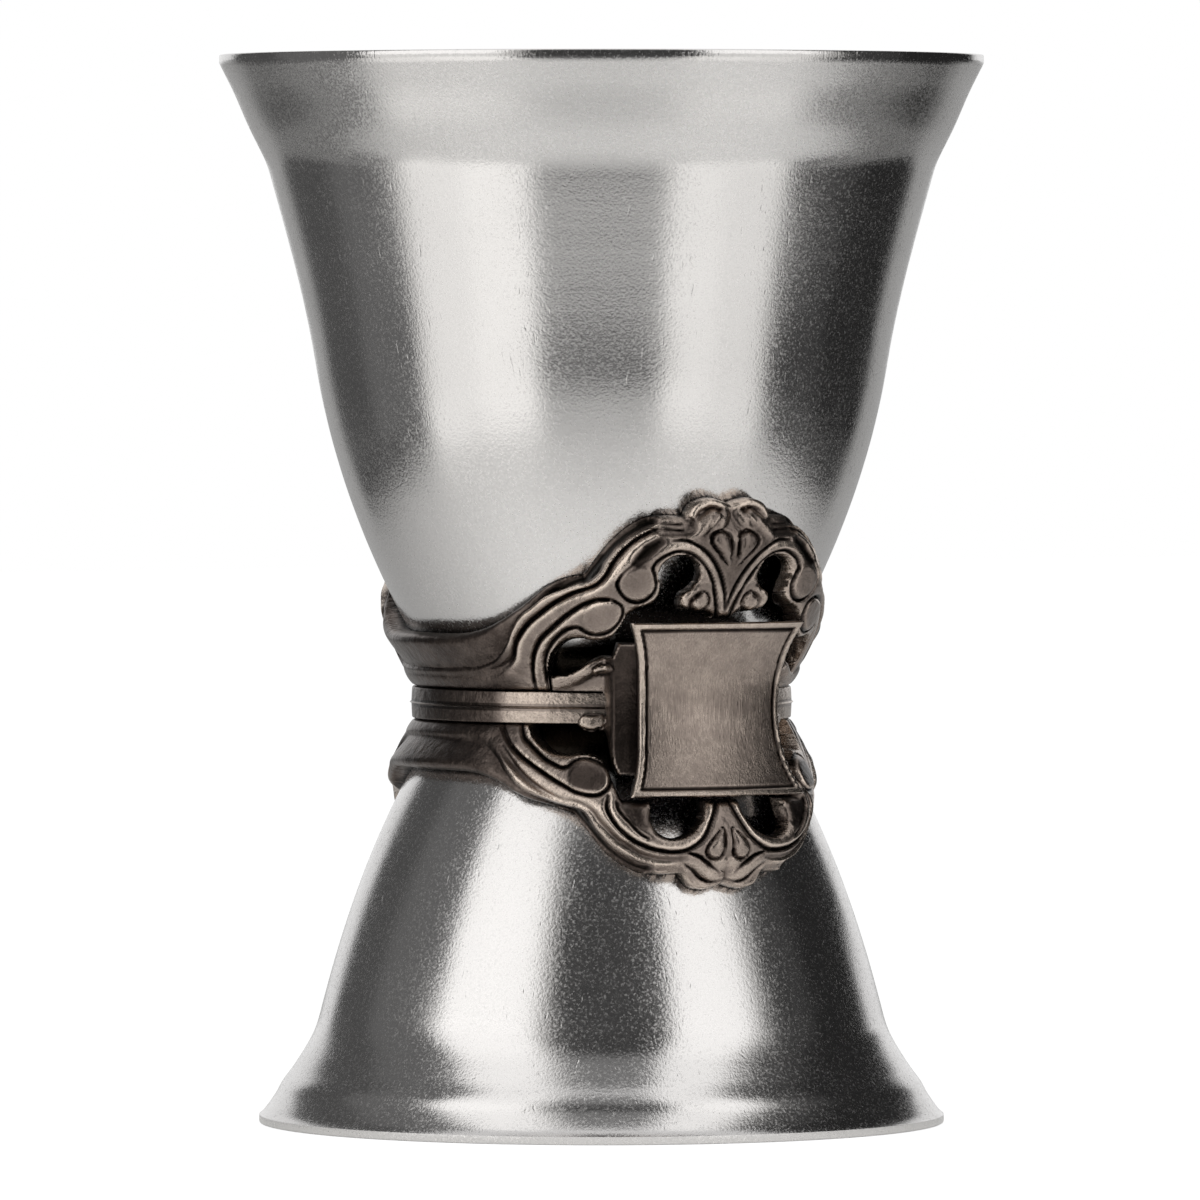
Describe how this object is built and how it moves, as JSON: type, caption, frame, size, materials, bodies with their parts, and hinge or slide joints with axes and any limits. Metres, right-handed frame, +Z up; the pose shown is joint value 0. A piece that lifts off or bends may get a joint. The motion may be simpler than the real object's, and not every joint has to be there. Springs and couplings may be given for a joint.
{
  "type": "cocktail jigger",
  "caption": "Double-ended bar measure: a large and a small flared steel cup joined base to base, with a cast pierced scroll collar and a bare tablet round the waist.",
  "frame": {"origin": "on the common axis of both cups, in the plane of the foot rim", "axes": "+Z up along the axis towards the larger cup's mouth; the front tablet faces -Y"},
  "size_m": [0.0574, 0.0574, 0.08],
  "materials": {
    "satin_steel": "satin, finely brushed stainless steel sheet",
    "antiqued_pewter": "antiqued cast pewter, darkened in the recesses and burnished on the ridges",
    "silver_braze": "silver braze filler, out of sight"
  },
  "bodies": {
    "root": {"upper_cup": "satin_steel", "lower_cup": "satin_steel", "braze_disc": "silver_braze", "waist_ring": "antiqued_pewter", "upper_collar": "antiqued_pewter", "lower_collar": "antiqued_pewter", "front_plate": "antiqued_pewter", "front_tablet": "antiqued_pewter", "rear_plate": "antiqued_pewter", "rear_tablet": "antiqued_pewter"}
  },
  "joints": []
}
